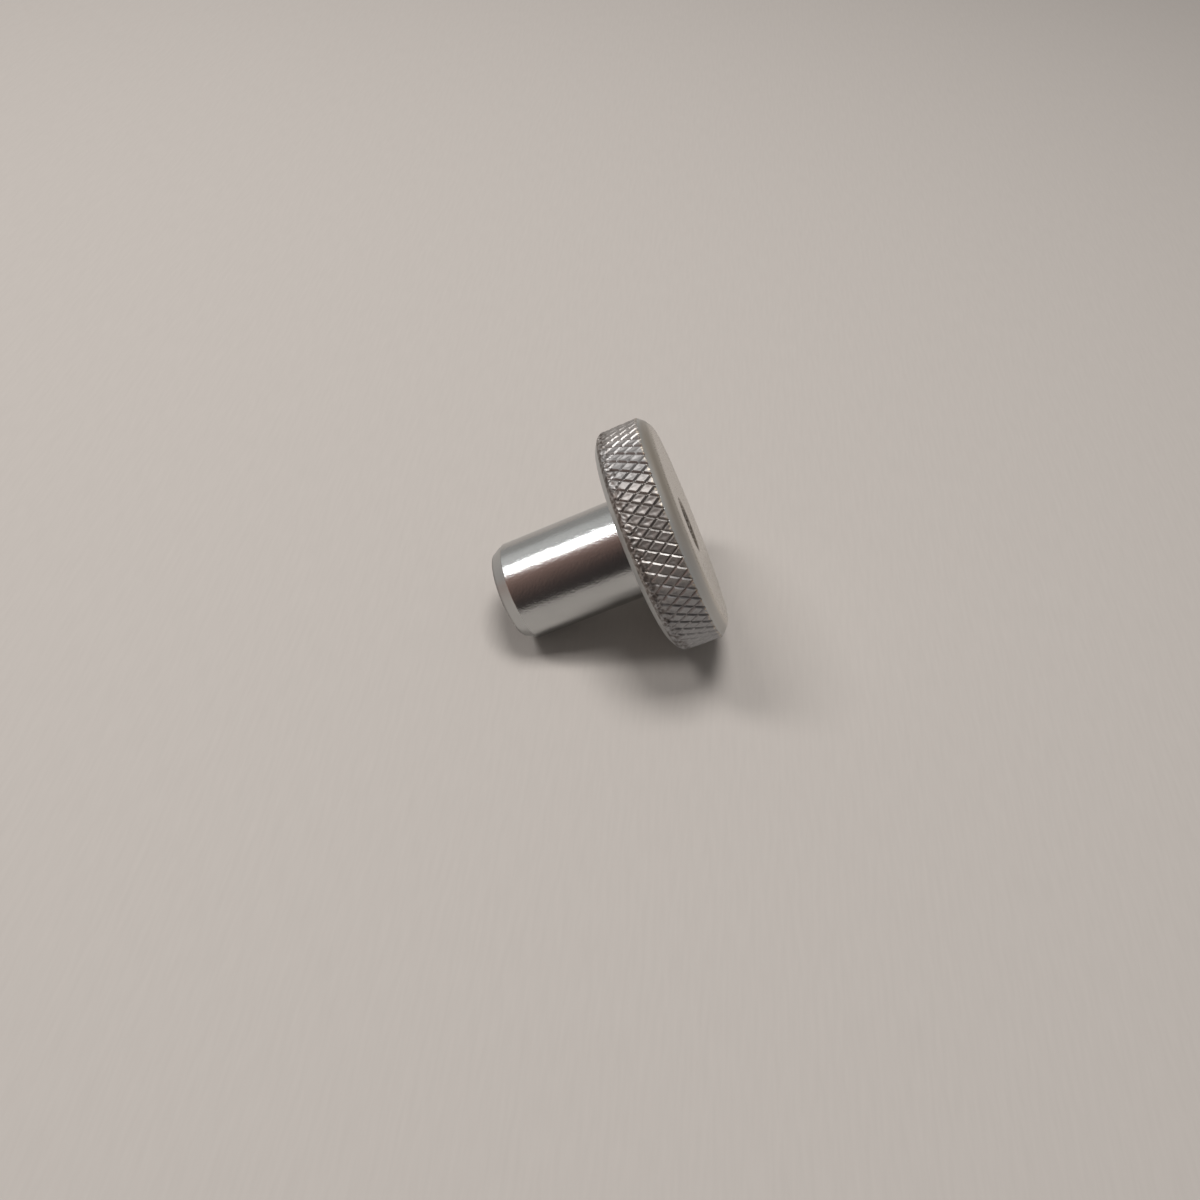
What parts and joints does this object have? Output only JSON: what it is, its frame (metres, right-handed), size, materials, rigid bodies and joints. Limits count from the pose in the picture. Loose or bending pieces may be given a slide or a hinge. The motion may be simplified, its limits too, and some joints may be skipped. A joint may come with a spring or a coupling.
{
  "type": "knurled nut",
  "caption": "Turned thumb nut: a wide diamond-knurled head with chamfered rims on a plain round hub, with a threaded hole right through, for tightening by hand.",
  "frame": {"origin": "centre of the hub's end face, where the nut stands", "axes": "+Z along the thread's axis, from the hub's end towards the head"},
  "size_m": [0.025, 0.025, 0.0213],
  "materials": {
    "bright_zinc_steel": "bright zinc plate over turned steel"
  },
  "bodies": {
    "root": {"knurled_nut": "bright_zinc_steel"}
  },
  "joints": []
}
